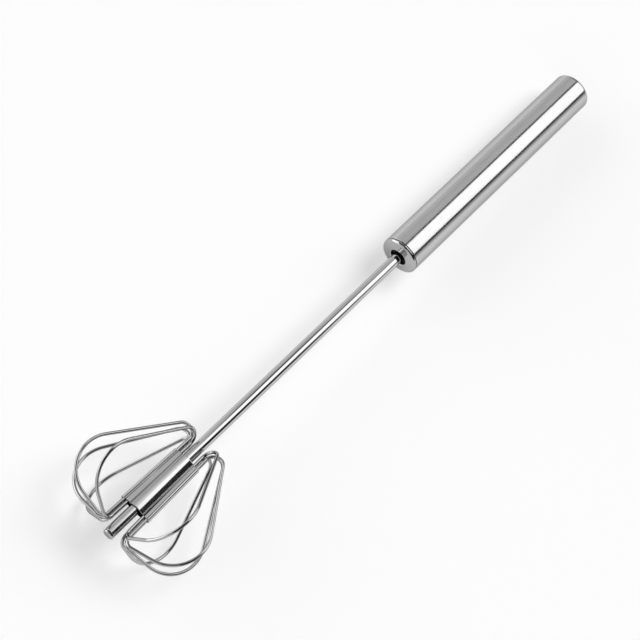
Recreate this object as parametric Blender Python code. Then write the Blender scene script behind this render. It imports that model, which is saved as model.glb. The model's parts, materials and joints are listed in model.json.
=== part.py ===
"""Push-down rotary whisk: a spring-loaded handle slides over a shaft and spins its wire head.

Tool space has its axis along Z, from the tip of the shaft (0) to the end of the handle.
The rest pose lays the tool on a table: tool Z points along +X, tool X points up.
"""
import math

import bmesh
import bpy
from mathutils import Matrix, Vector

# Lengths along the tool axis, in metres
TIP_LENGTH = 0.0154
CLAMP_LENGTH = 0.0298
EXPOSED_SHAFT = 0.1333
HANDLE_LENGTH = 0.1266

# Clearance between pieces that seat on each other, and round pieces that turn
FIT_GAP = 0.0003

# Handle tube and its two caps
HANDLE_DIAMETER = 0.0177
HANDLE_WALL = 0.0007
SPIGOT_WALL = 0.0008
END_CAP_RIM = 0.0022
END_CAP_PLATE = 0.0010
END_CAP_EDGE_RADIUS = 0.0018
END_CAP_SPIGOT = 0.0053
BOTTOM_CAP_DOME = 0.0010
BOTTOM_CAP_RIM = 0.0025
BOTTOM_CAP_PLATE = 0.0010
BOTTOM_CAP_EDGE_RADIUS = 0.0012
BOTTOM_CAP_SPIGOT = 0.0072
BOTTOM_CAP_HOLE_DIAMETER = 0.0080
HOLE_EDGE_RADIUS = 0.0003

# Guide bush in the bottom cap
BUSH_LENGTH = 0.0109
BUSH_RECESS_DEPTH = 0.0030

# Shaft and the pieces fixed to it
SHAFT_DIAMETER = 0.0049
SHAFT_WALL = 0.0005
TIP_PLUG_HEAD = 0.0009
TIP_PLUG_EDGE_RADIUS = 0.0006
TIP_PLUG_SPIGOT = 0.0080
COLLAR_DIAMETER = 0.0130
COLLAR_HEIGHT = 0.0030
NUT_DIAMETER = 0.0110
NUT_SOCKET_DEPTH = 0.0034
NUT_SLOT_LENGTH = 0.0040

# Return spring and its washer
WASHER_DIAMETER = 0.0130
WASHER_THICKNESS = 0.0010
SPRING_MEAN_DIAMETER = 0.0104
SPRING_WIRE_DIAMETER = 0.0010
SPRING_COILS = 18
POINTS_PER_COIL = 9

# Twisted drive strip, its plug and its pin
STRIP_WIDTH = 0.0030
STRIP_THICKNESS = 0.0010
STRIP_LEAD = 0.0240
STRIP_TAIL = 0.0090
STRIP_STEPS_PER_TURN = 24
PLUG_FLANGE_HEIGHT = 0.0047
PIN_DIAMETER = 0.0010
PIN_LENGTH = 0.0100

# Sheet clamp that holds the wires to the shaft
CLAMP_SHEET = 0.00045
CLAMP_FLARE = 0.0007
RIGHT_LOBE_OFFSET = 0.0005
CLAMP_VALLEY_BLEND = 0.0006
CLAMP_SHOULDER_BLEND = 0.0016
CLAMP_EDGE_FULLNESS = 3.0
CLAMP_OUTLINE_POINTS = 28

# Whisk wires: outer corners of one loop, measured from the clamp's ends
WIRE_DIAMETER = 0.0014
WIRE_END_GAP = 0.0008
LOOP_DROP = 0.0118
LOOP_CORNER_DROP = 0.0063
OUTER_LOOP_REACH = 0.0366
INNER_LOOP_REACH = 0.0348
LOOP_PEAK_RISE = 0.0187
RIGHT_LOOP_EXTRA_DROP = 0.0018
LOOP_LOWER_BEND = 0.0032
LOOP_BELLY_RADIUS = 0.0150
LOOP_UPPER_BEND = 0.0039
OUTER_FAN_ANGLE = math.radians(15.0)
INNER_FAN_ANGLE = math.radians(50.0)

# Facets
ROUND_SEGMENTS = 40
SMALL_ROUND_SEGMENTS = 24
PIN_SEGMENTS = 12
ARC_STEPS = 5
BEND_STEPS_MIN = 4
BEND_STEP_ANGLE = math.radians(14.0)
WHISK_WIRE_ROUNDNESS = 2
SPRING_WIRE_ROUNDNESS = 1
SHARP_EDGE_ANGLE = math.radians(35.0)
WELD_DISTANCE = 1e-6

# Search for the rest pose
TILT_LOWEST = -0.2
TILT_HIGHEST = 0.4
TILT_HALVINGS = 60

# Places along the axis
CLAMP_BOTTOM = TIP_LENGTH
CLAMP_TOP = CLAMP_BOTTOM + CLAMP_LENGTH
HANDLE_BOTTOM = CLAMP_TOP + EXPOSED_SHAFT
HANDLE_TOP = HANDLE_BOTTOM + HANDLE_LENGTH
TUBE_BOTTOM = HANDLE_BOTTOM + BOTTOM_CAP_RIM + FIT_GAP
TUBE_TOP = HANDLE_TOP - END_CAP_RIM - FIT_GAP
FACE_EDGE = HANDLE_BOTTOM + BOTTOM_CAP_DOME
BUSH_BOTTOM = FACE_EDGE + BOTTOM_CAP_PLATE + FIT_GAP
BUSH_TOP = BUSH_BOTTOM + BUSH_LENGTH
COLLAR_BOTTOM = BUSH_TOP + FIT_GAP
NUT_BOTTOM = COLLAR_BOTTOM + COLLAR_HEIGHT + FIT_GAP
SHAFT_BOTTOM = TIP_PLUG_HEAD + FIT_GAP
SHAFT_TOP = NUT_BOTTOM + NUT_SOCKET_DEPTH - FIT_GAP
NUT_TOP = NUT_BOTTOM + NUT_SOCKET_DEPTH + NUT_SLOT_LENGTH
WASHER_BOTTOM = NUT_TOP + FIT_GAP
WASHER_TOP = WASHER_BOTTOM + WASHER_THICKNESS
PLUG_TOP = HANDLE_TOP - END_CAP_PLATE - FIT_GAP
SPIGOT_END = HANDLE_TOP - END_CAP_RIM - END_CAP_SPIGOT
PLUG_SHOULDER = SPIGOT_END - FIT_GAP
PLUG_BOTTOM = PLUG_SHOULDER - PLUG_FLANGE_HEIGHT
STRIP_BOTTOM = SHAFT_TOP - STRIP_TAIL
STRIP_TOP = PLUG_TOP - FIT_GAP
TWIST_END = PLUG_BOTTOM - FIT_GAP
PIN_PLACE = (PLUG_SHOULDER + PLUG_TOP) / 2

# Radii
HANDLE_RADIUS = HANDLE_DIAMETER / 2
TUBE_BORE_RADIUS = HANDLE_RADIUS - HANDLE_WALL
SPIGOT_RADIUS = TUBE_BORE_RADIUS - FIT_GAP
SPIGOT_BORE_RADIUS = SPIGOT_RADIUS - SPIGOT_WALL
SHAFT_RADIUS = SHAFT_DIAMETER / 2
SHAFT_BORE_RADIUS = SHAFT_RADIUS - SHAFT_WALL
SEAT_RADIUS = SHAFT_RADIUS + FIT_GAP
HOLE_RADIUS = BOTTOM_CAP_HOLE_DIAMETER / 2
WIRE_RADIUS = WIRE_DIAMETER / 2

# Places of the wires in the clamp: two by two on each side of the shaft
WIRE_HALF_STEP = (WIRE_DIAMETER + FIT_GAP) / 2
BUNDLE_CENTRE = SEAT_RADIUS + WIRE_RADIUS + WIRE_HALF_STEP
CLAMP_CORE_RADIUS = SEAT_RADIUS + CLAMP_SHEET
CLAMP_LOBE_RADIUS = math.hypot(WIRE_HALF_STEP, WIRE_HALF_STEP) + WIRE_RADIUS + FIT_GAP + CLAMP_SHEET


def material_for(name, colour, roughness, metallic):
    material = bpy.data.materials.new(name + "_finish")
    material.use_nodes = True
    shader = material.node_tree.nodes["Principled BSDF"]
    shader.inputs["Base Color"].default_value = (*colour, 1.0)
    shader.inputs["Roughness"].default_value = roughness
    shader.inputs["Metallic"].default_value = metallic
    return material


def steel(name, roughness=0.22):
    return material_for(name, (0.62, 0.62, 0.61), roughness, 1.0)


def black_plastic(name):
    return material_for(name, (0.02, 0.02, 0.022), 0.45, 0.0)


def pale_plastic(name):
    return material_for(name, (0.75, 0.74, 0.70), 0.40, 0.0)


def empty(name, parent=None):
    holder = bpy.data.objects.new(name, None)
    bpy.context.scene.collection.objects.link(holder)
    holder.parent = parent
    return holder


def place(name, data, parent, material):
    piece = bpy.data.objects.new(name, data)
    bpy.context.scene.collection.objects.link(piece)
    piece.parent = parent
    data.materials.append(material)
    return piece


def finish_mesh(name, shape):
    bmesh.ops.remove_doubles(shape, verts=shape.verts, dist=WELD_DISTANCE)
    bmesh.ops.recalc_face_normals(shape, faces=shape.faces)
    mesh = bpy.data.meshes.new(name)
    shape.to_mesh(mesh)
    shape.free()
    mesh.shade_smooth()
    mesh.set_sharp_from_angle(angle=SHARP_EDGE_ANGLE)
    return mesh


def round_corner(centre_radius, centre_height, radius, start_degrees, end_degrees):
    """Points of a quarter round in a turned profile."""
    points = []
    for step in range(ARC_STEPS + 1):
        angle = math.radians(start_degrees + (end_degrees - start_degrees) * step / ARC_STEPS)
        points.append((centre_radius + radius * math.cos(angle), centre_height + radius * math.sin(angle)))
    return points


def turned(name, profile, parent, material, segments=ROUND_SEGMENTS):
    """A turned solid from (radius, height) points; a profile that starts on the axis stays open there."""
    shape = bmesh.new()
    verts = [shape.verts.new((radius, 0.0, height)) for radius, height in profile]
    edges = [shape.edges.new(pair) for pair in zip(verts, verts[1:])]
    if profile[0][0] > 0.0:
        edges.append(shape.edges.new((verts[-1], verts[0])))
    bmesh.ops.spin(shape, geom=verts + edges, cent=(0, 0, 0), axis=(0, 0, 1),
                   angle=2 * math.pi, steps=segments, use_merge=True)
    return place(name, finish_mesh(name, shape), parent, material)


def ring(name, inner, outer, bottom, top, parent, material, segments=ROUND_SEGMENTS):
    profile = [(inner, bottom), (outer, bottom), (outer, top), (inner, top)]
    return turned(name, profile, parent, material, segments)


def cut(piece, cutter):
    cutter.hide_render = True
    cutter.display_type = 'WIRE'
    modifier = piece.modifiers.new("cut_" + cutter.name, 'BOOLEAN')
    modifier.operation = 'DIFFERENCE'
    modifier.object = cutter


def twist_at(height):
    return 2 * math.pi * (min(height, TWIST_END) - NUT_BOTTOM) / STRIP_LEAD


def twisted_bar(name, width, thickness, bottom, top):
    """A flat bar that follows the drive twist, straight above the twist's end."""
    shape = bmesh.new()
    steps = max(2, math.ceil((top - bottom) / STRIP_LEAD * STRIP_STEPS_PER_TURN))
    corners = [(-1, -1), (1, -1), (1, 1), (-1, 1)]
    rows = []
    for step in range(steps + 1):
        height = bottom + (top - bottom) * step / steps
        turn = Matrix.Rotation(twist_at(height), 4, 'Z')
        row = [turn @ Vector((a * width / 2, b * thickness / 2, height)) for a, b in corners]
        rows.append([shape.verts.new(point) for point in row])
    for lower, upper in zip(rows, rows[1:]):
        for side in range(4):
            other = (side + 1) % 4
            shape.faces.new((lower[side], lower[other], upper[other], upper[side]))
    shape.faces.new(rows[0])
    shape.faces.new(rows[-1])
    return finish_mesh(name, shape)


def tube_along(name, points, radius, resolution, parent, material):
    """A round wire along a chain of points."""
    curve = bpy.data.curves.new(name, 'CURVE')
    curve.dimensions = '3D'
    curve.bevel_depth = radius
    curve.bevel_resolution = resolution
    curve.use_fill_caps = True
    spline = curve.splines.new('POLY')
    spline.points.add(len(points) - 1)
    for spline_point, point in zip(spline.points, points):
        spline_point.co = (*point, 1.0)
    return place(name, curve, parent, material)


def rounded_path(corners, radii):
    """Points of a chain of straight runs whose inner corners are rounded."""
    path = [corners[0]]
    for before, corner, after, radius in zip(corners, corners[1:], corners[2:], radii):
        towards_before = (before - corner).normalized()
        towards_after = (after - corner).normalized()
        half_angle = towards_before.angle(towards_after) / 2
        bisector = (towards_before + towards_after).normalized()
        centre = corner + bisector * radius / math.sin(half_angle)
        start = corner + towards_before * radius / math.tan(half_angle) - centre
        end = corner + towards_after * radius / math.tan(half_angle) - centre
        sweep = math.pi - 2 * half_angle
        steps = max(BEND_STEPS_MIN, math.ceil(sweep / BEND_STEP_ANGLE))
        for step in range(steps + 1):
            share = step / steps
            first = math.sin((1 - share) * sweep) / math.sin(sweep)
            second = math.sin(share * sweep) / math.sin(sweep)
            path.append(centre + start * first + end * second)
    path.append(corners[-1])
    return path


def loop_outline(reach, extra_drop):
    """One wire loop in its own plane: X is outward from the clamp, Y runs up the tool axis."""
    middle = (CLAMP_BOTTOM + CLAMP_TOP) / 2
    corners = [
        Vector((0.0, middle - WIRE_END_GAP / 2)),
        Vector((0.0, CLAMP_BOTTOM - LOOP_DROP - extra_drop)),
        Vector((reach, CLAMP_BOTTOM - LOOP_CORNER_DROP - extra_drop)),
        Vector((0.0, CLAMP_TOP + LOOP_PEAK_RISE)),
        Vector((0.0, middle + WIRE_END_GAP / 2)),
    ]
    return rounded_path(corners, (LOOP_LOWER_BEND, LOOP_BELLY_RADIUS, LOOP_UPPER_BEND))


def lobe_centre(side, along):
    """Distance of a wire bundle from the axis: the clamp widens towards the tip."""
    share = max(0.0, CLAMP_TOP - along) / CLAMP_LENGTH
    offset = RIGHT_LOBE_OFFSET if side > 0 else 0.0
    return BUNDLE_CENTRE + offset + CLAMP_FLARE * share


def wire_points(side, fan_angle, seat_column):
    """A loop turned to its fan angle, in tool space; side is +1 or -1 along tool Y."""
    level = math.copysign(WIRE_HALF_STEP, fan_angle)
    in_outer_column = seat_column > 0
    reach = OUTER_LOOP_REACH if in_outer_column else INNER_LOOP_REACH
    hangs_lower = side > 0 and fan_angle < INNER_FAN_ANGLE
    extra_drop = RIGHT_LOOP_EXTRA_DROP if hangs_lower else 0.0
    points = []
    for outward, along in loop_outline(reach, extra_drop):
        column = lobe_centre(side, along) + seat_column * WIRE_HALF_STEP
        points.append(Vector((
            level + outward * math.sin(fan_angle),
            side * (column + outward * math.cos(fan_angle)),
            along,
        )))
    return points


def wire_table():
    """Name and points of each whisk wire: the outer column fans little, the inner column fans wide."""
    upper_fans = [(INNER_FAN_ANGLE, -1), (OUTER_FAN_ANGLE, 1)]
    lower_fans = [(-OUTER_FAN_ANGLE, 1), (-INNER_FAN_ANGLE, -1)]
    table = {}
    for side_name, side in (("left", -1), ("right", 1)):
        for number, (fan_angle, seat_column) in enumerate(upper_fans + lower_fans, start=1):
            table[f"wire_{side_name}_{number}"] = wire_points(side, fan_angle, seat_column)
    return table


def clamp_height(across, core_radius, lobe_radius, along):
    """Half height of the clamp's section: three barrels, a deep left valley and a full right shoulder."""
    def barrel(centre, radius):
        return math.sqrt(max(0.0, radius ** 2 - (across - centre) ** 2))

    side = 1 if across > 0 else -1
    blend = CLAMP_SHOULDER_BLEND if side > 0 else CLAMP_VALLEY_BLEND
    centre = lobe_centre(side, along)
    core = barrel(0.0, core_radius)
    lobe = barrel(side * centre, lobe_radius)
    crest = (core + lobe + math.hypot(core - lobe, blend)) / 2
    edge_share = min(1.0, abs(across) / (centre + lobe_radius))
    return crest * min(1.0, CLAMP_EDGE_FULLNESS * math.sqrt(1.0 - edge_share ** 2))


def clamp_outline(inset, along):
    """Closed outline of the clamp's section at one height, the lower half mirroring the upper half."""
    core_radius = CLAMP_CORE_RADIUS - inset
    lobe_radius = CLAMP_LOBE_RADIUS - inset
    left_edge = -lobe_centre(-1, along) - lobe_radius
    right_edge = lobe_centre(1, along) + lobe_radius
    upper = []
    for step in range(CLAMP_OUTLINE_POINTS + 1):
        share = (1.0 - math.cos(math.pi * step / CLAMP_OUTLINE_POINTS)) / 2
        across = left_edge + (right_edge - left_edge) * share
        upper.append((clamp_height(across, core_radius, lobe_radius, along), across))
    lower = [(-height, across) for height, across in reversed(upper[1:-1])]
    return upper + lower


def wire_clamp(parent):
    shape = bmesh.new()
    outer_edges = [(0.0, CLAMP_BOTTOM), (0.0, CLAMP_TOP)]
    inner_edges = [(CLAMP_SHEET, CLAMP_TOP), (CLAMP_SHEET, CLAMP_BOTTOM)]
    loops = []
    for inset, along in outer_edges + inner_edges:
        loops.append([shape.verts.new((x, y, along)) for x, y in clamp_outline(inset, along)])
    count = len(loops[0])
    for first, second in zip(loops, loops[1:] + loops[:1]):
        for index in range(count):
            other = (index + 1) % count
            shape.faces.new((first[index], first[other], second[other], second[index]))
    return place("wire_clamp", finish_mesh("wire_clamp", shape), parent, steel("wire_clamp", 0.18))


def handle_pieces(parent):
    ring("handle_tube", TUBE_BORE_RADIUS, HANDLE_RADIUS, TUBE_BOTTOM, TUBE_TOP, parent,
         steel("handle_tube", 0.28))

    rim = HANDLE_TOP - END_CAP_RIM
    end_edge = round_corner(HANDLE_RADIUS - END_CAP_EDGE_RADIUS, HANDLE_TOP - END_CAP_EDGE_RADIUS,
                            END_CAP_EDGE_RADIUS, 90, 0)
    plate_under = HANDLE_TOP - END_CAP_PLATE
    turned("handle_end_cap", [(0.0, HANDLE_TOP)] + end_edge + [
        (HANDLE_RADIUS, rim), (SPIGOT_RADIUS, rim), (SPIGOT_RADIUS, SPIGOT_END),
        (SPIGOT_BORE_RADIUS, SPIGOT_END), (SPIGOT_BORE_RADIUS, plate_under), (0.0, plate_under),
    ], parent, steel("handle_end_cap", 0.25))

    rim = HANDLE_BOTTOM + BOTTOM_CAP_RIM
    hole_edge = round_corner(HOLE_RADIUS + HOLE_EDGE_RADIUS, HANDLE_BOTTOM + HOLE_EDGE_RADIUS,
                             HOLE_EDGE_RADIUS, 180, 270)
    outer_edge = round_corner(HANDLE_RADIUS - BOTTOM_CAP_EDGE_RADIUS, FACE_EDGE + BOTTOM_CAP_EDGE_RADIUS,
                              BOTTOM_CAP_EDGE_RADIUS, 270, 360)
    turned("bottom_cap", hole_edge + outer_edge + [
        (HANDLE_RADIUS, rim), (SPIGOT_RADIUS, rim), (SPIGOT_RADIUS, rim + BOTTOM_CAP_SPIGOT),
        (SPIGOT_BORE_RADIUS, rim + BOTTOM_CAP_SPIGOT), (SPIGOT_BORE_RADIUS, FACE_EDGE + BOTTOM_CAP_PLATE),
        (HOLE_RADIUS, HANDLE_BOTTOM + BOTTOM_CAP_PLATE),
    ], parent, steel("bottom_cap", 0.25))

    recess_radius = HOLE_RADIUS - FIT_GAP
    bush_radius = SPIGOT_BORE_RADIUS - FIT_GAP
    recess_top = BUSH_BOTTOM + BUSH_RECESS_DEPTH
    turned("guide_bush", [
        (recess_radius, BUSH_BOTTOM), (bush_radius, BUSH_BOTTOM), (bush_radius, BUSH_TOP),
        (SEAT_RADIUS, BUSH_TOP), (SEAT_RADIUS, recess_top), (recess_radius, recess_top),
    ], parent, black_plastic("guide_bush"))


def drive_pieces(parent):
    slot_width = STRIP_WIDTH + 2 * FIT_GAP
    slot_thickness = STRIP_THICKNESS + 2 * FIT_GAP
    neck_radius = SPIGOT_BORE_RADIUS - FIT_GAP
    plug = turned("anchor_plug", [
        (0.0, PLUG_TOP), (neck_radius, PLUG_TOP), (neck_radius, PLUG_SHOULDER),
        (SPIGOT_RADIUS, PLUG_SHOULDER), (SPIGOT_RADIUS, PLUG_BOTTOM), (0.0, PLUG_BOTTOM),
    ], parent, pale_plastic("anchor_plug"))
    strip_mesh = twisted_bar("drive_strip", STRIP_WIDTH, STRIP_THICKNESS, STRIP_BOTTOM, STRIP_TOP)
    strip = place("drive_strip", strip_mesh, parent, steel("drive_strip", 0.35))
    slot_mesh = twisted_bar("plug_slot", slot_width, slot_thickness,
                            PLUG_BOTTOM - FIT_GAP, PLUG_TOP + FIT_GAP)
    slot = place("plug_slot", slot_mesh, parent, steel("plug_slot"))
    cut(plug, slot)

    across_strip = Matrix.Rotation(twist_at(PIN_PLACE), 4, 'Z') @ Matrix.Rotation(math.pi / 2, 4, 'X')
    seat = Matrix.Translation((0.0, 0.0, PIN_PLACE)) @ across_strip
    ring_pin("anchor_pin", PIN_DIAMETER / 2, PIN_LENGTH, seat, parent)
    bore = ring_pin("pin_bore", PIN_DIAMETER / 2 + FIT_GAP, PIN_LENGTH + 2 * FIT_GAP, seat, parent)
    cut(plug, bore)
    cut(strip, bore)


def ring_pin(name, radius, length, seat, parent):
    half = length / 2
    pin = turned(name, [(0.0, half), (radius, half), (radius, -half), (0.0, -half)],
                 parent, steel(name), PIN_SEGMENTS)
    pin.matrix_local = seat
    return pin


def return_spring(parent):
    wire_radius = SPRING_WIRE_DIAMETER / 2
    coil_radius = SPRING_MEAN_DIAMETER / 2
    bottom = WASHER_TOP + FIT_GAP + wire_radius
    top = PLUG_BOTTOM - FIT_GAP - wire_radius
    count = SPRING_COILS * POINTS_PER_COIL
    points = []
    for step in range(count + 1):
        angle = 2 * math.pi * step / POINTS_PER_COIL
        height = bottom + (top - bottom) * step / count
        points.append((coil_radius * math.cos(angle), coil_radius * math.sin(angle), height))
    tube_along("return_spring", points, wire_radius, SPRING_WIRE_ROUNDNESS, parent,
               steel("return_spring", 0.3))


def shaft_pieces(parent):
    ring("shaft_tube", SHAFT_BORE_RADIUS, SHAFT_RADIUS, SHAFT_BOTTOM, SHAFT_TOP, parent,
         steel("shaft_tube", 0.2), SMALL_ROUND_SEGMENTS)
    ring("retaining_collar", SEAT_RADIUS, COLLAR_DIAMETER / 2, COLLAR_BOTTOM, COLLAR_BOTTOM + COLLAR_HEIGHT,
         parent, steel("retaining_collar", 0.3), SMALL_ROUND_SEGMENTS)

    plug_radius = SHAFT_BORE_RADIUS - FIT_GAP
    tip_edge = round_corner(SHAFT_RADIUS - TIP_PLUG_EDGE_RADIUS, TIP_PLUG_EDGE_RADIUS,
                            TIP_PLUG_EDGE_RADIUS, 0, -90)
    spigot_top = TIP_PLUG_HEAD + TIP_PLUG_SPIGOT
    turned("tip_plug", [
        (0.0, spigot_top), (plug_radius, spigot_top), (plug_radius, TIP_PLUG_HEAD),
        (SHAFT_RADIUS, TIP_PLUG_HEAD),
    ] + tip_edge + [(0.0, 0.0)], parent, steel("tip_plug", 0.2), SMALL_ROUND_SEGMENTS)

    socket_top = NUT_BOTTOM + NUT_SOCKET_DEPTH
    nut_radius = NUT_DIAMETER / 2
    nut = turned("drive_nut", [
        (0.0, NUT_TOP), (nut_radius, NUT_TOP), (nut_radius, NUT_BOTTOM), (SEAT_RADIUS, NUT_BOTTOM),
        (SEAT_RADIUS, socket_top), (0.0, socket_top),
    ], parent, pale_plastic("drive_nut"), SMALL_ROUND_SEGMENTS)
    slot_mesh = twisted_bar("nut_slot", STRIP_WIDTH + 2 * FIT_GAP, STRIP_THICKNESS + 2 * FIT_GAP,
                            socket_top - FIT_GAP, NUT_TOP + FIT_GAP)
    cut(nut, place("nut_slot", slot_mesh, parent, steel("nut_slot")))


def whisk_wires(parent):
    for name, points in wire_table().items():
        tube_along(name, points, WIRE_RADIUS, WHISK_WIRE_ROUNDNESS, parent, steel(name, 0.16))


def resting_tilt():
    """Angle by which the tool axis dips towards the handle when wires and handle end touch a table."""
    wire_centres = [(point.x, point.z) for points in wire_table().values() for point in points]
    rim_centre = (END_CAP_EDGE_RADIUS - HANDLE_RADIUS, HANDLE_TOP - END_CAP_EDGE_RADIUS)

    def wires_above_rim(tilt):
        def height(centre):
            return centre[0] * math.cos(tilt) - centre[1] * math.sin(tilt)
        lowest_wire = min(height(centre) for centre in wire_centres) - WIRE_RADIUS
        return lowest_wire - (height(rim_centre) - END_CAP_EDGE_RADIUS)

    low = TILT_LOWEST
    high = TILT_HIGHEST
    for _ in range(TILT_HALVINGS):
        middle = (low + high) / 2
        if wires_above_rim(middle) < 0.0:
            low = middle
        else:
            high = middle
    return (low + high) / 2


def lay_on_table(root):
    """Turn the tool to its rest pose, with the middle of its box's underside at the origin."""
    tilt = resting_tilt()
    up = Vector((math.sin(tilt), 0.0, math.cos(tilt)))
    along = Vector((math.cos(tilt), 0.0, -math.sin(tilt)))
    root.matrix_world = Matrix((up, along.cross(up), along)).transposed().to_4x4()
    bpy.context.view_layer.update()
    depsgraph = bpy.context.evaluated_depsgraph_get()
    corners = []
    for piece in bpy.context.scene.objects:
        if piece.type == 'EMPTY' or piece.hide_render:
            continue
        evaluated = piece.evaluated_get(depsgraph)
        mesh = evaluated.to_mesh()
        corners += [piece.matrix_world @ vert.co for vert in mesh.vertices]
        evaluated.to_mesh_clear()
    low = [min(corner[axis] for corner in corners) for axis in range(3)]
    high = [max(corner[axis] for corner in corners) for axis in range(3)]
    root.location = (-(low[0] + high[0]) / 2, -(low[1] + high[1]) / 2, -low[2])


def build():
    for old in list(bpy.data.objects):
        bpy.data.objects.remove(old)
    root = empty("rest_pose")
    slider = empty("slide_axis", root)
    spinner = empty("spin_axis", slider)
    handle_pieces(root)
    drive_pieces(root)
    return_spring(root)
    ring("thrust_washer", SEAT_RADIUS, WASHER_DIAMETER / 2, WASHER_BOTTOM, WASHER_TOP, slider,
         steel("thrust_washer", 0.3), SMALL_ROUND_SEGMENTS)
    shaft_pieces(spinner)
    wire_clamp(spinner)
    whisk_wires(spinner)
    lay_on_table(root)


build()
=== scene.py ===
"""Looks of the push-down rotary whisk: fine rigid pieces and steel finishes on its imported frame.

Tool space has its axis along Z, from the tip of the shaft (0) to the end of the handle. Its X points
up from the floor and its Y to the right, looking from the head to the handle. Lengths are in metres.
"""
import json
import math

import bmesh
import bpy
from mathutils import Matrix, Vector


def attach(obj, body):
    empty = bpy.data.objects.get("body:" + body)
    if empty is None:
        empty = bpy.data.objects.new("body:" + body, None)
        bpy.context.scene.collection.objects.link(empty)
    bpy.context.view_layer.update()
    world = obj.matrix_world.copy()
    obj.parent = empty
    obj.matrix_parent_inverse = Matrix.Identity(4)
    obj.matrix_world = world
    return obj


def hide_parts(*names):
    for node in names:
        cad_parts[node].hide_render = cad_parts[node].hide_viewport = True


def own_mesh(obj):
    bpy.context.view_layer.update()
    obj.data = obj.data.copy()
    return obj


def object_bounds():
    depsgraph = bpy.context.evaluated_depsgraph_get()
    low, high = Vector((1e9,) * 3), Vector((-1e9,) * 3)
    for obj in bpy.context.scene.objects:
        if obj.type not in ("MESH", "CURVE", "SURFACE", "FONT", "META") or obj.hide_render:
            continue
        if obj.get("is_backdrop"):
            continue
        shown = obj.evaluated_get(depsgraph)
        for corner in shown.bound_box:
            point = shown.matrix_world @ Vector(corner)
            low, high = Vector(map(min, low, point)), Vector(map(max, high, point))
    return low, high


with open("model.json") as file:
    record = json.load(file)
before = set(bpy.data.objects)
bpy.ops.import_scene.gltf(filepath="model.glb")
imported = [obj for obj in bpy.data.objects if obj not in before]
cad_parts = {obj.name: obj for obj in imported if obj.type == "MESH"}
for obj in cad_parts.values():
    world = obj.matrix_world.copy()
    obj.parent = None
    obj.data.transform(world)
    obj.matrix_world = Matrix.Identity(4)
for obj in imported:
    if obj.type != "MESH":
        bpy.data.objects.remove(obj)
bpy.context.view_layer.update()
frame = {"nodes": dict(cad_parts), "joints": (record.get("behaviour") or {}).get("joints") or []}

# Camera: where the tool lies in its view
FOCAL_PIXELS = 2000.0
IMAGE_PIXELS = 640.0
SENSOR_WIDTH = 36.0
TIP_IN_VIEW = Vector((-0.08249, 0.08350, 0.77510))
AXIS_OFF_IMAGE = math.radians(26.5)
AXIS_IN_IMAGE = math.radians(43.6)
ROLL_ABOUT_AXIS = math.radians(8.5)

# Facets
TURN_SEGMENTS = 128
ARC_STEPS = 8
CLAMP_EDGE_STEPS = 4
CLAMP_ROWS = 24
WIRE_SIDES = 20
COIL_POINTS = 40
BEND_STEP_ANGLE = math.radians(3.0)
SHARP_EDGE_ANGLE = math.radians(32.0)
WELD_DISTANCE = 1e-7
HOLD_DISTANCE = 0.00012
LONG_RUN = 4 * HOLD_DISTANCE

# Handle and shaft
FIT_GAP = 0.0003
TUBE_EDGE = 0.00015
CAP_PLATE = 0.0010
SPIGOT_WALL = 0.0008
END_CAP_EDGE = 0.0018
BOTTOM_CAP_EDGE = 0.0012
BOTTOM_CAP_DOME = 0.0004
CAP_SEAM_DROP = 0.0005
HOLE_LIP = 0.0003
BUSH_EDGE = 0.0002
BUSH_RECESS = 0.0012
TIP_EDGE = 0.0008

# Return spring: its end coils lie close, at a pitch given in wire diameters
COILS = 18
DEAD_COILS = 1.0
DEAD_PITCH = 1.08

# Whisk wires
WIRE_RADIUS = 0.0007
WIRE_END_SHARE = 0.7
WIRE_END_GAP = 0.0008
LOOP_DROP = 0.0118
LOOP_CORNER_DROP = 0.0063
OUTER_LOOP_REACH = 0.03653
INNER_LOOP_REACH = 0.03476
LOOP_PEAK_RISE = 0.0187
RIGHT_LOOP_EXTRA_DROP = 0.0018
LOOP_LOWER_BEND = 0.0032
LOOP_BELLY_RADIUS = 0.0150
LOOP_UPPER_BEND = 0.0039
OUTER_FAN_ANGLE = math.radians(15.0)
INNER_FAN_ANGLE = math.radians(50.0)

# Loops bent unlike the others: reach, corner drop and peak rise
ODD_BENDS = {
    "loop_left_1": (0.03422, 0.0053, 0.0197),
    "loop_left_2": (0.03640, 0.0088, 0.0207),
    "loop_left_3": (0.03550, 0.0083, 0.0197),
    "loop_right_3": (0.03500, 0.0063, 0.0207),
    "loop_right_4": (0.03060, 0.0076, 0.0202),
}

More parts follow.
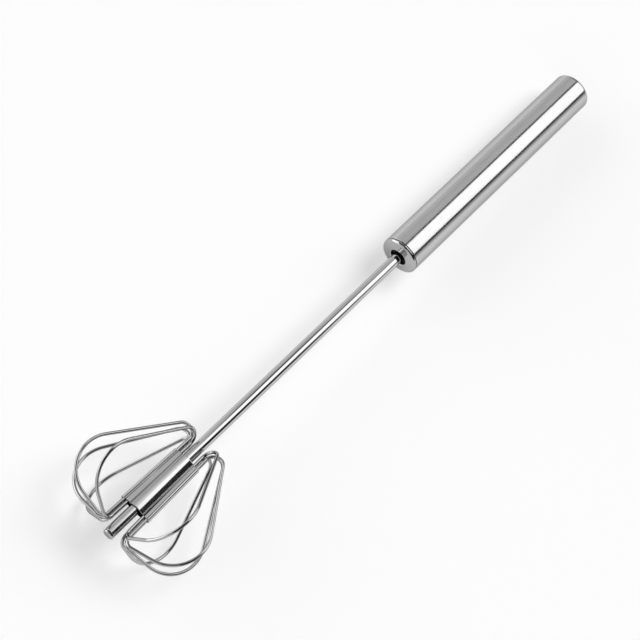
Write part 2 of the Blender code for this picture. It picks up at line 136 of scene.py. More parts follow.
# Clamp: its crown is the height over its mid plane at places across it, at its upper end
CLAMP_FLARE = 0.0007
RIGHT_LOBE_OFFSET = 0.0005
CLAMP_SHEET = 0.00022
CLAMP_EDGE = 0.00012
CLAMP_CROWN = [
    (-0.00660, 0.00000), (-0.00658, 0.00030), (-0.00650, 0.00068), (-0.00635, 0.00110),
    (-0.00610, 0.00148), (-0.00580, 0.00176), (-0.00562, 0.00190), (-0.00550, 0.00197),
    (-0.00543, 0.00196), (-0.00515, 0.00182), (-0.00500, 0.00201), (-0.00492, 0.00204),
    (-0.00466, 0.00205), (-0.00438, 0.00186), (-0.00420, 0.00189), (-0.00340, 0.00204),
    (-0.00310, 0.00210), (-0.00292, 0.00213), (-0.00234, 0.00174), (-0.00216, 0.00272),
    (-0.00184, 0.00275), (-0.00160, 0.00289), (-0.00120, 0.00303), (-0.00080, 0.00311),
    (-0.00040, 0.00316), (0.00000, 0.00318), (0.00040, 0.00317), (0.00080, 0.00312),
    (0.00120, 0.00304), (0.00150, 0.00294), (0.00175, 0.00283), (0.00230, 0.00254),
    (0.00275, 0.00234), (0.00350, 0.00198), (0.00429, 0.00160), (0.00480, 0.00170),
    (0.00540, 0.00182), (0.00555, 0.00185), (0.00580, 0.00170), (0.00600, 0.00172),
    (0.00625, 0.00163), (0.00650, 0.00145), (0.00675, 0.00115), (0.00693, 0.00078),
    (0.00702, 0.00040), (0.00705, 0.00000),
]

# Finishes: grain is given as noise scales along and across the tool axis
STEEL_TONE = (0.57, 0.57, 0.57)
# Painted shade: the steel of the bottom cap and the shaft tip is toned darker than the rest, standing in for
# the shaded floor that the polished cap face reflects
SHADED_CAP_TONE = (0.46, 0.46, 0.46)
WIRE_TONE = (0.48, 0.48, 0.48)
SPRING_TONE = (0.48, 0.48, 0.47)
BLACK_TONE = (0.060, 0.060, 0.062)
NYLON_TONE = (0.72, 0.71, 0.67)
EDGE_TINT = (0.5, 0.5, 0.5, 1.0)
WIRE_EDGE_TINT = (0.0, 0.0, 0.0, 1.0)
LONG_GRAIN = (60.0, 2600.0, 2600.0)
FINE_GRAIN = (120.0, 3800.0, 3800.0)
EVEN_GRAIN = (1800.0, 1800.0, 1800.0)
GRAIN_DETAIL = 4.0
GRAIN_HEIGHT = 0.00002
MARK_SCALE = 90.0
MARK_DETAIL = 3.0
MARK_SHARE = 0.35
STEEL_ROUGHNESS_SPREAD = 0.3
STEEL_SHADE_STOPS = (0.3, 0.7)
SKIN_SCALE = 2500.0
SKIN_DETAIL = 3.0
SKIN_HEIGHT = 0.00003
SKIN_RELIEF = 0.15
PLASTIC_ROUGHNESS_SPREAD = 0.2
PLASTIC_SHADE_DEPTH = 0.15

# Floor
FLOOR_REACH = 12.0
FLOOR_TONE = (0.985, 0.985, 0.985)
FLOOR_LIFT = 0.42

# Key light, left out of reflections: where it comes from is given as shares along the tool axis, up and
# to the right
KEY_STRENGTH = 1.46
KEY_ANGLE = math.radians(32.0)
KEY_DIRECTION = (0.36, 0.88, 0.28)

# Studio: a broad softbox overhead, a grey wall on the left and a bright horizon on the right, which fade
# out past the handle, and an end wall past the head, split by a gap straight up. Between them is near black.
# A direction is given by its lean (its share along the tool axis) and by its angle from straight up
# towards the right, in degrees. Values that follow the lean are sums of steps: a range of leans, and the
# values at its two ends. Levels are pairs of an angle and a grey level.
SOFTBOX_LEVEL = 1.76
SOFTBOX_START = (0.26, 0.345)
SOFTBOX_END = (0.84, 0.94)
SOFTBOX_LEFT = [((0.43, 0.50), (-10.0, -6.0))]
SOFTBOX_LEFT_FADE = [((0.36, 0.42), (30.0, 2.0))]
SOFTBOX_RIGHT = [((0.33, 0.35), (25.0, 30.0)), ((0.36, 0.39), (0.0, 10.0)), ((0.425, 0.475), (0.0, 17.5))]
WALL_EDGE = [((0.15, 0.27), (-47.0, -12.0)), ((0.36, 0.40), (0.0, -24.0)), ((0.43, 0.49), (0.0, 20.0))]
WALL_SHARE = [((-0.85, -0.70), (0.5, 3.2)), ((0.05, 0.20), (0.0, -2.2))]
WALL_LEVELS = [(-180, 0.86), (-94, 0.86), (-74, 0.70), (-54, 0.60), (-19, 0.70), (180, 0.7)]
HORIZON_SHIFT = [((0.40, 0.47), (8.0, 0.0))]
HORIZON_LEVELS = [(-180, 0.0), (66, 0.0), (73, 0.33), (80, 0.63), (88, 0.9), (180, 0.9)]
FAR_SHARE = [((0.66, 0.80), (1.0, 0.1))]
END_WALL = [((-0.60, -0.48), (0.8, 0.0))]
END_GAP = [((-0.82, -0.66), (0.0, 9.0))]
END_GAP_FADE = 8.0
EDGE_FADE = 2.0
DARK_LEVEL = 0.02

UNIT = (0.0, 1.0)
FULL_TURN = 360.0

joint_table = {joint["name"]: joint for joint in frame["joints"]}
tool_along = Vector(joint_table["press_slide"]["axis"]).normalized()
tool_up = (Vector((0.0, 0.0, 1.0)) - tool_along * tool_along.z).normalized()
tool_right = tool_along.cross(tool_up)
axis_point = Vector(joint_table["whisk_spin"]["pos_m"])


def in_tool(point):
    offset = point - axis_point
    return Vector((offset.dot(tool_up), offset.dot(tool_right), offset.dot(tool_along)))


def span(node):
    """Lowest and highest place on the axis, and smallest and largest radius, of a CAD node."""
    points = [in_tool(vert.co) for vert in frame["nodes"][node].data.vertices]
    heights = [point.z for point in points]
    radii = [math.hypot(point.x, point.y) for point in points]
    return min(heights), max(heights), min(radii), max(radii)


axis_point = axis_point + tool_along * span("tip_plug")[0]
tool_space = Matrix((tool_up, tool_right, tool_along)).transposed().to_4x4()
tool_space.translation = axis_point


# Meshes

def place(name, mesh, node, body, material):
    """A finished mesh in tool space becomes a piece that stands for a CAD node."""
    mesh.name = name
    mesh.transform(tool_space)
    mesh.materials.append(material)
    piece = bpy.data.objects.new(name, mesh)
    bpy.context.scene.collection.objects.link(piece)
    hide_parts(node)
    if body:
        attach(piece, body)
    return piece


def finish_mesh(shape):
    bmesh.ops.remove_doubles(shape, verts=shape.verts, dist=WELD_DISTANCE)
    bmesh.ops.recalc_face_normals(shape, faces=shape.faces)
    mesh = bpy.data.meshes.new("piece")
    shape.to_mesh(mesh)
    shape.free()
    mesh.shade_smooth()
    mesh.set_sharp_from_angle(angle=SHARP_EDGE_ANGLE)
    return mesh


def arc(centre_radius, centre_height, radius, start_degrees, end_degrees):
    points = []
    for step in range(ARC_STEPS + 1):
        angle = math.radians(start_degrees + (end_degrees - start_degrees) * step / ARC_STEPS)
        points.append((centre_radius + radius * math.cos(angle), centre_height + radius * math.sin(angle)))
    return points


def held(profile):
    """Adds a point close to both ends of each long run, so that its shading stays straight."""
    points = [profile[0]]
    for (r0, z0), (r1, z1) in zip(profile, profile[1:]):
        length = math.hypot(r1 - r0, z1 - z0)
        if length > LONG_RUN:
            share = HOLD_DISTANCE / length
            points.append((r0 + (r1 - r0) * share, z0 + (z1 - z0) * share))
            points.append((r1 - (r1 - r0) * share, z1 - (z1 - z0) * share))
        points.append((r1, z1))
    return points


def turned(profile):
    """A turned mesh from (radius, height) points; a profile that starts on the axis stays open there."""
    shape = bmesh.new()
    profile = held(profile)
    verts = [shape.verts.new((radius, 0.0, height)) for radius, height in profile]
    edges = [shape.edges.new(pair) for pair in zip(verts, verts[1:])]
    if profile[0][0] > 0.0:
        edges.append(shape.edges.new((verts[-1], verts[0])))
    bmesh.ops.spin(shape, geom=verts + edges, cent=(0, 0, 0), axis=(0, 0, 1),
                   angle=2 * math.pi, steps=TURN_SEGMENTS, use_merge=True)
    return finish_mesh(shape)


def skin(shape, loops, closed_chain):
    """Faces between successive closed loops of vertices."""
    pairs = list(zip(loops, loops[1:]))
    if closed_chain:
        pairs.append((loops[-1], loops[0]))
    count = len(loops[0])
    for first, second in pairs:
        for index in range(count):
            other = (index + 1) % count
            shape.faces.new((first[index], first[other], second[other], second[index]))


def wire_mesh(points, radius):
    """A round wire along a chain of points, carried without twist, with softened ends."""
    shape = bmesh.new()
    loops = []
    tangent = (points[1] - points[0]).normalized()
    sideways = tangent.orthogonal().normalized()
    last = len(points) - 1
    for index, point in enumerate(points):
        ahead = points[min(index + 1, last)]
        behind = points[max(index - 1, 0)]
        new_tangent = (ahead - behind).normalized()
        sideways = (tangent.rotation_difference(new_tangent) @ sideways).normalized()
        tangent = new_tangent
        other = tangent.cross(sideways)
        ring_sizes = [radius]
        if index == 0:
            ring_sizes = [radius * WIRE_END_SHARE, radius]
        elif index == last:
            ring_sizes = [radius, radius * WIRE_END_SHARE]
        for size in ring_sizes:
            past_end = (radius - size) * (-1 if index == 0 else 1)
            loop = []
            for side in range(WIRE_SIDES):
                angle = 2 * math.pi * side / WIRE_SIDES
                offset = sideways * math.cos(angle) + other * math.sin(angle)
                loop.append(shape.verts.new(point + offset * size + tangent * past_end))
            loops.append(loop)
    skin(shape, loops, False)
    shape.faces.new(loops[0])
    shape.faces.new(loops[-1])
    return finish_mesh(shape)


def rounded_path(corners, radii):
    """Points of a chain of straight runs whose inner corners are rounded."""
    path = [corners[0]]
    for before, corner, after, radius in zip(corners, corners[1:], corners[2:], radii):
        towards_before = (before - corner).normalized()
        towards_after = (after - corner).normalized()
        half_angle = towards_before.angle(towards_after) / 2
        bisector = (towards_before + towards_after).normalized()
        centre = corner + bisector * radius / math.sin(half_angle)
        start = corner + towards_before * radius / math.tan(half_angle) - centre
        end = corner + towards_after * radius / math.tan(half_angle) - centre
        sweep = math.pi - 2 * half_angle
        steps = math.ceil(sweep / BEND_STEP_ANGLE)
        for step in range(steps + 1):
            share = step / steps
            first = math.sin((1 - share) * sweep) / math.sin(sweep)
            second = math.sin(share * sweep) / math.sin(sweep)
            path.append(centre + start * first + end * second)
    path.append(corners[-1])
    return path


clamp_low, clamp_high, _, _ = span("wire_clamp")
shaft_low, shaft_high, shaft_bore, shaft_radius = span("shaft_tube")
wire_half_step = WIRE_RADIUS + FIT_GAP / 2
bundle_centre = shaft_radius + FIT_GAP + WIRE_RADIUS + wire_half_step


def flare(along):
    """How much further out the clamp's sides stand at a height: it widens towards the tip."""
    return CLAMP_FLARE * max(0.0, clamp_high - along) / (clamp_high - clamp_low)


def loop_outline(bend, extra_drop):
    """One wire loop in its own plane: X is outward from the clamp, Y runs up the tool axis."""
    reach, corner_drop, peak_rise = bend
    middle = (clamp_low + clamp_high) / 2
    corners = [
        Vector((0.0, middle - WIRE_END_GAP / 2)),
        Vector((0.0, clamp_low - LOOP_DROP - extra_drop)),
        Vector((reach, clamp_low - corner_drop - extra_drop)),
        Vector((0.0, clamp_high + peak_rise)),
        Vector((0.0, middle + WIRE_END_GAP / 2)),
    ]
    return rounded_path(corners, (LOOP_LOWER_BEND, LOOP_BELLY_RADIUS, LOOP_UPPER_BEND))


def wire_points(side, fan_angle, seat_column, bend):
    """The path of a loop on one side (-1 or 1), from its seat in the inner (-1) or outer (1) column."""
    level = math.copysign(wire_half_step, fan_angle)
    hangs_lower = side > 0 and fan_angle < INNER_FAN_ANGLE
    extra_drop = RIGHT_LOOP_EXTRA_DROP if hangs_lower else 0.0
    lobe = bundle_centre + (RIGHT_LOBE_OFFSET if side > 0 else 0.0)
    points = []
    for outward, along in loop_outline(bend, extra_drop):
        column = lobe + flare(along) + seat_column * wire_half_step
        points.append(Vector((
            level + outward * math.sin(fan_angle),
            side * (column + outward * math.cos(fan_angle)),
            along,
        )))
    return points


def clamp_outline(inset, along):
    """Closed outline of the clamp's section at one height; its underside mirrors its crown."""
    widening = flare(along)
    width = CLAMP_CROWN[-1][0] - CLAMP_CROWN[0][0]
    narrowing = 1.0 - 2 * inset / width
    upper = []
    for across, height in CLAMP_CROWN:
        if across > 0.0:
            side_share = min(1.0, across / shaft_radius)
        else:
            side_share = min(1.0, max(0.0, (-across - shaft_radius) / (bundle_centre - shaft_radius)))
        shift = math.copysign(widening * side_share, across)
        upper.append((max(0.0, height - inset), (across + shift) * narrowing))
    lower = [(-height, across) for height, across in reversed(upper[1:-1])]
    return upper + lower


def clamp_mesh():
    """The clamp's sheet: rounded lower edge, outer face, rounded upper edge and inner face."""
    angles = [math.pi / 2 * step / CLAMP_EDGE_STEPS for step in range(CLAMP_EDGE_STEPS + 1)]
    first_row = clamp_low + CLAMP_EDGE + HOLD_DISTANCE
    last_row = clamp_high - CLAMP_EDGE - HOLD_DISTANCE
    stations = []
    for angle in angles:
        inset = CLAMP_EDGE * (1 - math.sin(angle))
        stations.append((inset, clamp_low + CLAMP_EDGE * (1 - math.cos(angle))))
    for row in range(CLAMP_ROWS + 1):
        stations.append((0.0, first_row + (last_row - first_row) * row / CLAMP_ROWS))
    for angle in angles:
        inset = CLAMP_EDGE * (1 - math.cos(angle))
        stations.append((inset, clamp_high - CLAMP_EDGE * (1 - math.sin(angle))))
    stations += [(CLAMP_SHEET, clamp_high), (CLAMP_SHEET, clamp_low)]
    shape = bmesh.new()
    loops = []
    for inset, along in stations:
        loops.append([shape.verts.new((x, y, along)) for x, y in clamp_outline(inset, along)])
    skin(shape, loops, True)
    return finish_mesh(shape)


# Finishes

def node_of(tree, kind, **values):
    node = tree.nodes.new(kind)
    for key, value in values.items():
        setattr(node, key, value)
    return node


def spread(tree, value, source_range, target_range, kind='LINEAR'):
    """A value carried from one range to another."""
    node = node_of(tree, "ShaderNodeMapRange", interpolation_type=kind)
    sockets = ("From Min", "From Max", "To Min", "To Max")
    for socket, number in zip(sockets, (*source_range, *target_range)):
        node.inputs[socket].default_value = number
    tree.links.new(value, node.inputs["Value"])
    return node.outputs["Result"]


def noise(tree, vector, scale, detail):
    node = node_of(tree, "ShaderNodeTexNoise")
    node.inputs["Scale"].default_value = scale
    node.inputs["Detail"].default_value = detail
    tree.links.new(vector, node.inputs["Vector"])
    return node.outputs["Fac"]


def new_finish(name):
    material = bpy.data.materials.new(name)
    material.use_nodes = True
    tree = material.node_tree
    return material, tree, tree.nodes["Principled BSDF"]


def vary_roughness(tree, shader, pattern, roughness, share):
    """Roughness that follows a pattern, by a share of it to either side."""
    limits = (roughness * (1 - share), roughness * (1 + share))
    tree.links.new(spread(tree, pattern, UNIT, limits), shader.inputs["Roughness"])


def vary_shade(tree, shader, pattern, tone, share, stops):
    """A colour that follows a pattern between two stops, by a share of it to either side."""
    ramp = node_of(tree, "ShaderNodeValToRGB")
    for element, stop, factor in zip(ramp.color_ramp.elements, stops, (1 - share, 1 + share)):
        element.position = stop
        element.color = (*[channel * factor for channel in tone], 1.0)
    tree.links.new(pattern, ramp.inputs["Fac"])
    tree.links.new(ramp.outputs["Color"], shader.inputs["Base Color"])


def add_relief(tree, shader, pattern, strength, height):
    relief = node_of(tree, "ShaderNodeBump")
    relief.inputs["Strength"].default_value = strength
    relief.inputs["Distance"].default_value = height
    tree.links.new(pattern, relief.inputs["Height"])
    tree.links.new(relief.outputs["Normal"], shader.inputs["Normal"])


def steel(name, tone, grain_scale, roughness, shade_depth, relief, edge_tint=EDGE_TINT):
    """Stainless steel with fine grain drawn along the tool axis and faint handling marks."""
    material, tree, shader = new_finish(name)
    shader.inputs["Metallic"].default_value = 1.0
    shader.inputs["Specular Tint"].default_value = edge_tint
    position = node_of(tree, "ShaderNodeTexCoord").outputs["Object"]
    along_tool = node_of(tree, "ShaderNodeMapping")
    along_tool.inputs["Rotation"].default_value = (0.0, math.asin(tool_along.z), 0.0)
    along_tool.inputs["Scale"].default_value = grain_scale
    tree.links.new(position, along_tool.inputs["Vector"])
    grain = noise(tree, along_tool.outputs["Vector"], 1.0, GRAIN_DETAIL)
    marks = noise(tree, position, MARK_SCALE, MARK_DETAIL)
    both = node_of(tree, "ShaderNodeMix", data_type='FLOAT')
    both.inputs["Factor"].default_value = MARK_SHARE
    tree.links.new(grain, both.inputs["A"])
    tree.links.new(marks, both.inputs["B"])
    vary_roughness(tree, shader, both.outputs["Result"], roughness, STEEL_ROUGHNESS_SPREAD)
    vary_shade(tree, shader, both.outputs["Result"], tone, shade_depth, STEEL_SHADE_STOPS)
    add_relief(tree, shader, grain, relief, GRAIN_HEIGHT)
    return material


def plastic(name, tone, roughness):
    """Moulded plastic with a fine matt skin."""
    material, tree, shader = new_finish(name)
    position = node_of(tree, "ShaderNodeTexCoord").outputs["Object"]
    pattern = noise(tree, position, SKIN_SCALE, SKIN_DETAIL)
    vary_roughness(tree, shader, pattern, roughness, PLASTIC_ROUGHNESS_SPREAD)
    vary_shade(tree, shader, pattern, tone, PLASTIC_SHADE_DEPTH, UNIT)
    add_relief(tree, shader, pattern, SKIN_RELIEF, SKIN_HEIGHT)
    return material


satin_steel = steel("satin_steel", STEEL_TONE, LONG_GRAIN, roughness=0.15, shade_depth=0.06, relief=0.08)
# Darker copy of the steel: painted shade for the shaded floor seen in the cap face
shaded_cap_steel = steel("shaded_cap_steel", SHADED_CAP_TONE, EVEN_GRAIN, roughness=0.06, shade_depth=0.03, relief=0.05)
polished_steel = steel("polished_steel", STEEL_TONE, FINE_GRAIN, roughness=0.07, shade_depth=0.03,
                       relief=0.03)
wire_steel = steel("wire_steel", WIRE_TONE, EVEN_GRAIN, roughness=0.05, shade_depth=0.03, relief=0.03,
                   edge_tint=WIRE_EDGE_TINT)
spring_steel = steel("spring_steel", SPRING_TONE, EVEN_GRAIN, roughness=0.28, shade_depth=0.06, relief=0.08)
black_plastic = plastic("black_plastic", BLACK_TONE, roughness=0.35)
pale_nylon = plastic("pale_nylon", NYLON_TONE, roughness=0.42)


# Handle

tube_low, tube_high, tube_bore, tube_radius = span("handle_tube")
tube_start = tube_low - CAP_SEAM_DROP
tube_end = tube_high + FIT_GAP
profile = arc(tube_radius - TUBE_EDGE, tube_start + TUBE_EDGE, TUBE_EDGE, -90, 0)
profile += [(tube_radius, tube_end), (tube_bore, tube_end), (tube_bore, tube_start)]
place("handle_sleeve", turned(profile), "handle_tube", "handle", satin_steel)

end_low, end_high, _, end_radius = span("handle_end_cap")
spigot_radius = tube_bore - FIT_GAP
spigot_bore = spigot_radius - SPIGOT_WALL
end_plate = end_high - CAP_PLATE
profile = [(0.0, end_high)]
profile += arc(end_radius - END_CAP_EDGE, end_high - END_CAP_EDGE, END_CAP_EDGE, 90, 0)
profile += [(end_radius, tube_end), (spigot_radius, tube_end), (spigot_radius, end_low),
            (spigot_bore, end_low), (spigot_bore, end_plate), (0.0, end_plate)]
place("handle_end", turned(profile), "handle_end_cap", "handle", satin_steel)

cap_low, cap_high, hole_radius, cap_radius = span("bottom_cap")
cap_rim = tube_start - FIT_GAP
lip_radius = hole_radius + HOLE_LIP
edge_centre_radius = cap_radius - BOTTOM_CAP_EDGE
cone_slope = math.atan2(BOTTOM_CAP_DOME, edge_centre_radius - lip_radius)
cone_degrees = math.degrees(cone_slope)
edge_start_radius = edge_centre_radius + BOTTOM_CAP_EDGE * math.sin(cone_slope)
edge_start_height = cap_low + (edge_start_radius - lip_radius) * math.tan(cone_slope)
edge_centre_height = edge_start_height + BOTTOM_CAP_EDGE * math.cos(cone_slope)
profile = arc(lip_radius, cap_low + HOLE_LIP, HOLE_LIP, 180, 270 + cone_degrees)
profile += arc(edge_centre_radius, edge_centre_height, BOTTOM_CAP_EDGE, -90 + cone_degrees, 0)
profile += [(cap_radius, cap_rim - TUBE_EDGE), (cap_radius - TUBE_EDGE, cap_rim), (spigot_radius, cap_rim),
            (spigot_radius, cap_high), (spigot_bore, cap_high),
            (spigot_bore, cap_low + BOTTOM_CAP_DOME + CAP_PLATE), (hole_radius, cap_low + CAP_PLATE)]
place("cap_with_hole", turned(profile), "bottom_cap", "handle", shaded_cap_steel)

bush_low, bush_high, bush_bore, bush_radius = span("guide_bush")
recess_radius = hole_radius - FIT_GAP
recess_top = bush_low + BUSH_RECESS
profile = arc(recess_radius + BUSH_EDGE, bush_low + BUSH_EDGE, BUSH_EDGE, 180, 270)
profile += arc(bush_radius - BUSH_EDGE, bush_low + BUSH_EDGE, BUSH_EDGE, -90, 0)
profile += arc(bush_radius - BUSH_EDGE, bush_high - BUSH_EDGE, BUSH_EDGE, 0, 90)
profile += [(bush_bore, bush_high)]
profile += arc(bush_bore + BUSH_EDGE, recess_top + BUSH_EDGE, BUSH_EDGE, 180, 270)
profile += [(recess_radius, recess_top)]
place("shaft_bush", turned(profile), "guide_bush", "handle", black_plastic)

# Shaft

profile = arc(shaft_radius - TUBE_EDGE, shaft_low + TUBE_EDGE, TUBE_EDGE, -90, 0)
profile += arc(shaft_radius - TUBE_EDGE, shaft_high - TUBE_EDGE, TUBE_EDGE, 0, 90)
profile += arc(shaft_bore + TUBE_EDGE, shaft_high - TUBE_EDGE, TUBE_EDGE, 90, 180)
profile += arc(shaft_bore + TUBE_EDGE, shaft_low + TUBE_EDGE, TUBE_EDGE, 180, 270)
place("shaft_sleeve", turned(profile), "shaft_tube", "whisk", polished_steel)

tip_low, tip_high, _, tip_radius = span("tip_plug")
tip_neck = shaft_bore - FIT_GAP
tip_head = shaft_low - FIT_GAP
profile = [(0.0, tip_high), (tip_neck, tip_high), (tip_neck, tip_head),
           (tip_radius - TUBE_EDGE, tip_head), (tip_radius, tip_head - TUBE_EDGE)]
profile += arc(tip_radius - TIP_EDGE, tip_low + TIP_EDGE, TIP_EDGE, 0, -90)
profile += [(0.0, tip_low)]
place("shaft_tip", turned(profile), "tip_plug", "whisk", shaded_cap_steel)

# Head

place("wire_sleeve", clamp_mesh(), "wire_clamp", "whisk", polished_steel)

fans = [(INNER_FAN_ANGLE, -1), (OUTER_FAN_ANGLE, 1), (-OUTER_FAN_ANGLE, 1), (-INNER_FAN_ANGLE, -1)]
for side_name, side in (("left", -1), ("right", 1)):
    for number, (fan_angle, seat_column) in enumerate(fans, start=1):
        loop_name = f"loop_{side_name}_{number}"
        reach = OUTER_LOOP_REACH if seat_column > 0 else INNER_LOOP_REACH
        bend = ODD_BENDS.get(loop_name, (reach, LOOP_CORNER_DROP, LOOP_PEAK_RISE))
        mesh = wire_mesh(wire_points(side, fan_angle, seat_column, bend), WIRE_RADIUS)
        place(loop_name, mesh, f"wire_{side_name}_{number}", "whisk", wire_steel)

# Return spring, which on the real whisk closes up as the handle is pressed; here it keeps its shape and
# rides with the handle

low, high, coil_inner, coil_outer = span("return_spring")
coil_wire = (coil_outer - coil_inner) / 2
coil_radius = (coil_outer + coil_inner) / 2
first_height = low + coil_wire
last_height = high - coil_wire
dead_rise = DEAD_COILS * DEAD_PITCH * 2 * coil_wire
live_coils = COILS - 2 * DEAD_COILS
live_rise = last_height - first_height - 2 * dead_rise
coil_points = []
for step in range(COILS * COIL_POINTS + 1):
    turns = step / COIL_POINTS
    if turns <= DEAD_COILS:
        height = first_height + dead_rise * turns / DEAD_COILS
    elif turns >= COILS - DEAD_COILS:
        height = last_height - dead_rise * (COILS - turns) / DEAD_COILS
    else:
        height = first_height + dead_rise + live_rise * (turns - DEAD_COILS) / live_coils
    angle = 2 * math.pi * turns
    coil_points.append(Vector((coil_radius * math.cos(angle), coil_radius * math.sin(angle), height)))
spring = place("spring_coil", wire_mesh(coil_points, coil_wire),
               "return_spring", None, spring_steel)
stroke = joint_table["press_slide"]["range_m"][1]
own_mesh(spring)
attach(spring, "handle")

# Inner pieces keep their CAD shapes

for node, material in (("retaining_collar", spring_steel), ("thrust_washer", spring_steel),
                       ("drive_strip", spring_steel), ("anchor_pin", spring_steel),
                       ("anchor_plug", pale_nylon), ("drive_nut", pale_nylon)):
    node_materials = frame["nodes"][node].data.materials
    node_materials.clear()
    node_materials.append(material)

# Floor: matt, and lifted towards white where it is seen

floor_finish, floor_tree, floor_shader = new_finish("floor_finish")
floor_shader.inputs["Base Color"].default_value = (*FLOOR_TONE, 1.0)
floor_shader.inputs["Roughness"].default_value = 1.0
floor_shader.inputs["Specular IOR Level"].default_value = 0.0
path = node_of(floor_tree, "ShaderNodeLightPath")
seen = path.outputs["Is Camera Ray"]
for ray in ("Is Glossy Ray", "Is Transmission Ray"):
    either = node_of(floor_tree, "ShaderNodeMath", operation='MAXIMUM')
    floor_tree.links.new(seen, either.inputs[0])
    floor_tree.links.new(path.outputs[ray], either.inputs[1])
    seen = either.outputs["Value"]
white = node_of(floor_tree, "ShaderNodeEmission")
white.inputs["Color"].default_value = (1.0, 1.0, 1.0, 1.0)
white.inputs["Strength"].default_value = 1.0
floor_mix = node_of(floor_tree, "ShaderNodeMixShader")
floor_tree.links.new(spread(floor_tree, seen, UNIT, (0.0, FLOOR_LIFT)), floor_mix.inputs["Fac"])
floor_tree.links.new(floor_shader.outputs["BSDF"], floor_mix.inputs[1])
floor_tree.links.new(white.outputs["Emission"], floor_mix.inputs[2])
floor_tree.links.new(floor_mix.outputs["Shader"], floor_tree.nodes["Material Output"].inputs["Surface"])

floor_shape = bmesh.new()
bmesh.ops.create_grid(floor_shape, x_segments=1, y_segments=1, size=FLOOR_REACH)
floor_mesh = bpy.data.meshes.new("floor")
floor_shape.to_mesh(floor_mesh)
floor_shape.free()
floor_mesh.materials.append(floor_finish)
floor = bpy.data.objects.new("floor", floor_mesh)
bpy.context.scene.collection.objects.link(floor)
floor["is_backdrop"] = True

# Key light

key_from = tool_along * KEY_DIRECTION[0] + tool_up * KEY_DIRECTION[1] + tool_right * KEY_DIRECTION[2]
key_data = bpy.data.lights.new("key", 'SUN')
key_data.angle = KEY_ANGLE
key_data.energy = KEY_STRENGTH
key = bpy.data.objects.new("key", key_data)
key.rotation_euler = key_from.to_track_quat('Z', 'Y').to_euler()
key.visible_glossy = False
bpy.context.scene.collection.objects.link(key)

# Studio

world = bpy.data.worlds.new("studio")
bpy.context.scene.world = world
world.use_nodes = True
studio = world.node_tree
background = studio.nodes["Background"]
direction = node_of(studio, "ShaderNodeTexCoord").outputs["Generated"]


def share_along(vector):
    dot = node_of(studio, "ShaderNodeVectorMath", operation='DOT_PRODUCT')
    dot.inputs[1].default_value = vector
    studio.links.new(direction, dot.inputs[0])
    return dot.outputs["Value"]


def math_node(operation, first, second):
    node = node_of(studio, "ShaderNodeMath", operation=operation)
    for socket, value in zip(node.inputs, (first, second)):
        if isinstance(value, (int, float)):
            socket.default_value = value
        else:
            studio.links.new(value, socket)
    return node.outputs["Value"]


def levels_over(degrees, levels):
    """A grey level that follows an angle; the table's first and last rows are half a turn away."""
    ramp = node_of(studio, "ShaderNodeValToRGB")
    studio.links.new(math_node('ADD', math_node('DIVIDE', degrees, FULL_TURN), 0.5), ramp.inputs["Fac"])
    stops = ramp.color_ramp.elements
    for place_in_turn, level in levels[1:-1]:
        stops.new(place_in_turn / FULL_TURN + 0.5).color = (level, level, level, 1.0)
    for stop, (_, level) in ((stops[0], levels[0]), (stops[-1], levels[-1])):
        stop.color = (level, level, level, 1.0)
    return ramp.outputs["Color"]


def past(degrees, edge, fade=EDGE_FADE):
    """1 where an angle lies past an edge, with a soft step."""
    distance = math_node('DIVIDE', math_node('SUBTRACT', degrees, edge), fade)
    return spread(studio, distance, (-0.5, 0.5), UNIT, 'SMOOTHSTEP')


def by_lean(steps):
    """A value that follows the lean: the sum of its steps."""
    parts = [spread(studio, lean, *step) for step in steps]
    total = parts[0]
    for part in parts[1:]:
        total = math_node('ADD', total, part)
    return total


lean = share_along(tool_along)
turn = math_node('ARCTAN2', share_along(tool_right), share_along(tool_up))
degrees_right = math_node('MULTIPLY', turn, math.degrees(1.0))

inside_left = past(degrees_right, by_lean(SOFTBOX_LEFT), by_lean(SOFTBOX_LEFT_FADE))
inside_right = math_node('SUBTRACT', 1.0, past(degrees_right, by_lean(SOFTBOX_RIGHT)))
softbox = math_node('MULTIPLY', inside_left, inside_right)
softbox = math_node('MULTIPLY', softbox, spread(studio, lean, SOFTBOX_START, UNIT, 'SMOOTHSTEP'))
softbox_level = spread(studio, lean, SOFTBOX_END, (SOFTBOX_LEVEL, 0.0), 'SMOOTHSTEP')
softbox = math_node('MULTIPLY', softbox, softbox_level)

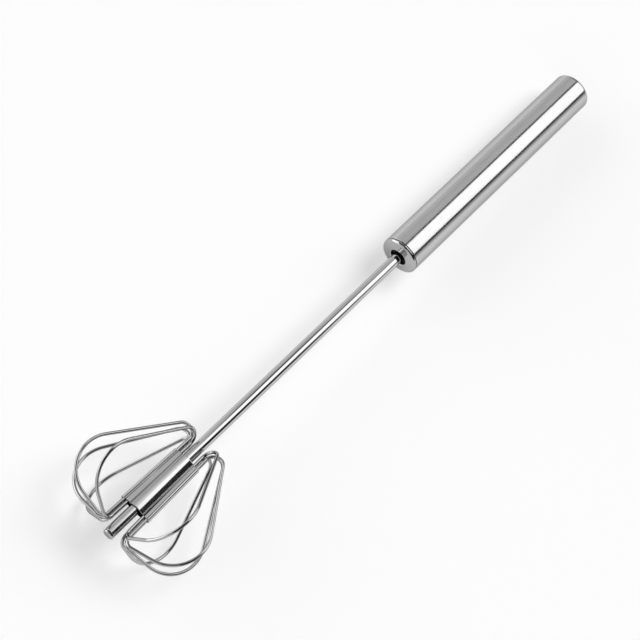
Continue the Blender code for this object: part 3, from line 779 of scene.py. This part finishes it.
wall = math_node('SUBTRACT', 1.0, past(degrees_right, by_lean(WALL_EDGE)))
wall_level = math_node('MULTIPLY', levels_over(degrees_right, WALL_LEVELS), by_lean(WALL_SHARE))
wall = math_node('MULTIPLY', wall, wall_level)
horizon = levels_over(math_node('SUBTRACT', degrees_right, by_lean(HORIZON_SHIFT)), HORIZON_LEVELS)
sides = math_node('MULTIPLY', math_node('ADD', wall, horizon), by_lean(FAR_SHARE))

end_wall = past(math_node('ABSOLUTE', degrees_right, 0.0), by_lean(END_GAP), END_GAP_FADE)
end_wall = math_node('MULTIPLY', end_wall, by_lean(END_WALL))

light = math_node('ADD', softbox, math_node('MAXIMUM', sides, end_wall))
studio.links.new(math_node('MAXIMUM', light, DARK_LEVEL), background.inputs["Color"])
background.inputs["Strength"].default_value = 1.0

# Camera

cos_off = math.cos(AXIS_OFF_IMAGE)
sin_off = math.sin(AXIS_OFF_IMAGE)
cos_in = math.cos(AXIS_IN_IMAGE)
sin_in = math.sin(AXIS_IN_IMAGE)
cos_roll = math.cos(ROLL_ABOUT_AXIS)
sin_roll = math.sin(ROLL_ABOUT_AXIS)
view_along = Vector((cos_off * cos_in, -cos_off * sin_in, sin_off))
view_facing = Vector((sin_off * cos_in, -sin_off * sin_in, -cos_off))
view_side = Vector((sin_in, cos_in, 0.0))
view_up = cos_roll * view_facing - sin_roll * view_side
view_right = sin_roll * view_facing + cos_roll * view_side
view_of_tool = Matrix((view_up, view_right, view_along)).transposed().to_4x4()
view_of_tool.translation = TIP_IN_VIEW
camera_data = bpy.data.cameras.new("camera")
camera_data.sensor_width = SENSOR_WIDTH
camera_data.lens = SENSOR_WIDTH * FOCAL_PIXELS / IMAGE_PIXELS
camera = bpy.data.objects.new("camera", camera_data)
bpy.context.scene.collection.objects.link(camera)
camera.matrix_world = tool_space @ view_of_tool.inverted() @ Matrix.Rotation(math.pi, 4, 'X')
bpy.context.scene.camera = camera
bpy.context.scene.view_settings.view_transform = 'Standard'

visual_low, visual_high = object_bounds()
# The head slides along the sloping axis as the handle is pressed, and keeps clear of the floor there too
floor.location.z = visual_low[2] + stroke * min(0.0, tool_along.z)
